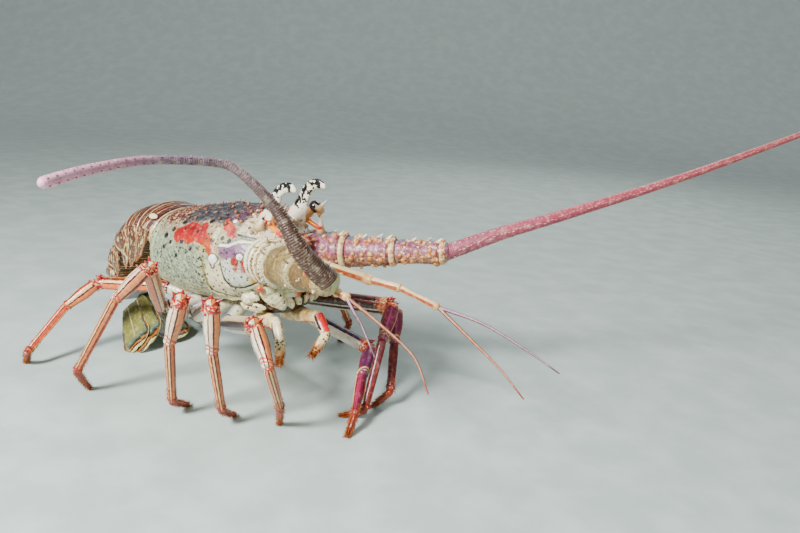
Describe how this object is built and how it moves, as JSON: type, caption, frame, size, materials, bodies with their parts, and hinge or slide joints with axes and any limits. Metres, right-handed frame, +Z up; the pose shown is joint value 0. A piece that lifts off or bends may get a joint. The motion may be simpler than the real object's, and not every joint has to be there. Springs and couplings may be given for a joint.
{
  "type": "spiny lobster",
  "caption": "Still model of a spiny lobster standing on its walking legs, tail curled under, one long whip-like antenna out to its left and the other swept up and cut short",
  "frame": {"origin": "centre of the bounding box in plan, on the floor under the feet", "axes": "+X is forward along the body, +Y is the animal's left, +Z is up"},
  "size_m": [0.4777, 0.5341, 0.2226],
  "materials": {
    "carapace": "hard shell, semi-matt, grey-green with white, orange-red and purple-brown areas and black dots",
    "pale_underside": "pale cream shell with small black dots",
    "abdomen": "semi-gloss maroon shell with fine cream and orange cross lines and cream spots",
    "tail_fan": "thin olive-yellow blades with dark bands and a pale edge",
    "eye": "glossy black",
    "antenna_stalk": "hard spiny shell, cream and mauve with orange-red joints",
    "antenna_whip": "pink-mauve rough rings with rows of dark dots",
    "antennule": "thin orange and cream stalks with purple-grey whips",
    "mouth_legs": "white and orange shell with black dots",
    "striped_legs": "salmon orange and cream long stripes parted by thin dark lines",
    "front_legs": "glossy magenta-purple shell with orange edges and cream lines"
  },
  "bodies": {
    "root": {"carapace": "carapace", "brow_horn_left": "carapace", "brow_horn_right": "carapace", "sternum": "pale_underside", "abdomen_1": "abdomen", "abdomen_2": "abdomen", "abdomen_3": "abdomen", "abdomen_4": "abdomen", "abdomen_5": "abdomen", "abdomen_6": "abdomen", "telson": "tail_fan", "fan_inner_left": "tail_fan", "fan_outer_left": "tail_fan", "fan_inner_right": "tail_fan", "fan_outer_right": "tail_fan", "eye_left": "eye", "eye_right": "eye", "antenna_base_right": "antenna_stalk", "antenna_base_left": "antenna_stalk", "antennular_plate": "antenna_stalk", "epistome": "pale_underside", "mouthparts": "pale_underside", "antenna_right_1": "antenna_whip", "antenna_right_2": "antenna_whip", "antenna_right_3": "antenna_whip", "antenna_right_4": "antenna_whip", "antenna_left_1": "antenna_whip", "antenna_left_2": "antenna_whip", "antenna_left_3": "antenna_whip", "antennule_right": "antennule", "antennule_right_whip_1": "antennule", "antennule_right_whip_2": "antennule", "antennule_left": "antennule", "antennule_left_whip_1": "antennule", "antennule_left_whip_2": "antennule", "maxilliped_right": "mouth_legs", "maxilliped_left": "mouth_legs", "leg_right_1_upper": "striped_legs", "leg_right_1_lower": "striped_legs", "leg_right_2_upper": "striped_legs", "leg_right_2_lower": "striped_legs", "leg_right_3_upper": "striped_legs", "leg_right_3_lower": "striped_legs", "leg_right_4_upper": "striped_legs", "leg_right_4_lower": "striped_legs", "leg_right_5_upper": "striped_legs", "leg_right_5_lower": "striped_legs", "leg_left_1_upper": "front_legs", "leg_left_1_lower": "front_legs", "leg_left_2_upper": "front_legs", "leg_left_2_lower": "front_legs", "leg_left_3_upper": "front_legs", "leg_left_3_lower": "front_legs", "leg_left_4_upper": "striped_legs", "leg_left_4_lower": "striped_legs", "leg_left_5_upper": "striped_legs", "leg_left_5_lower": "striped_legs"}
  },
  "joints": []
}
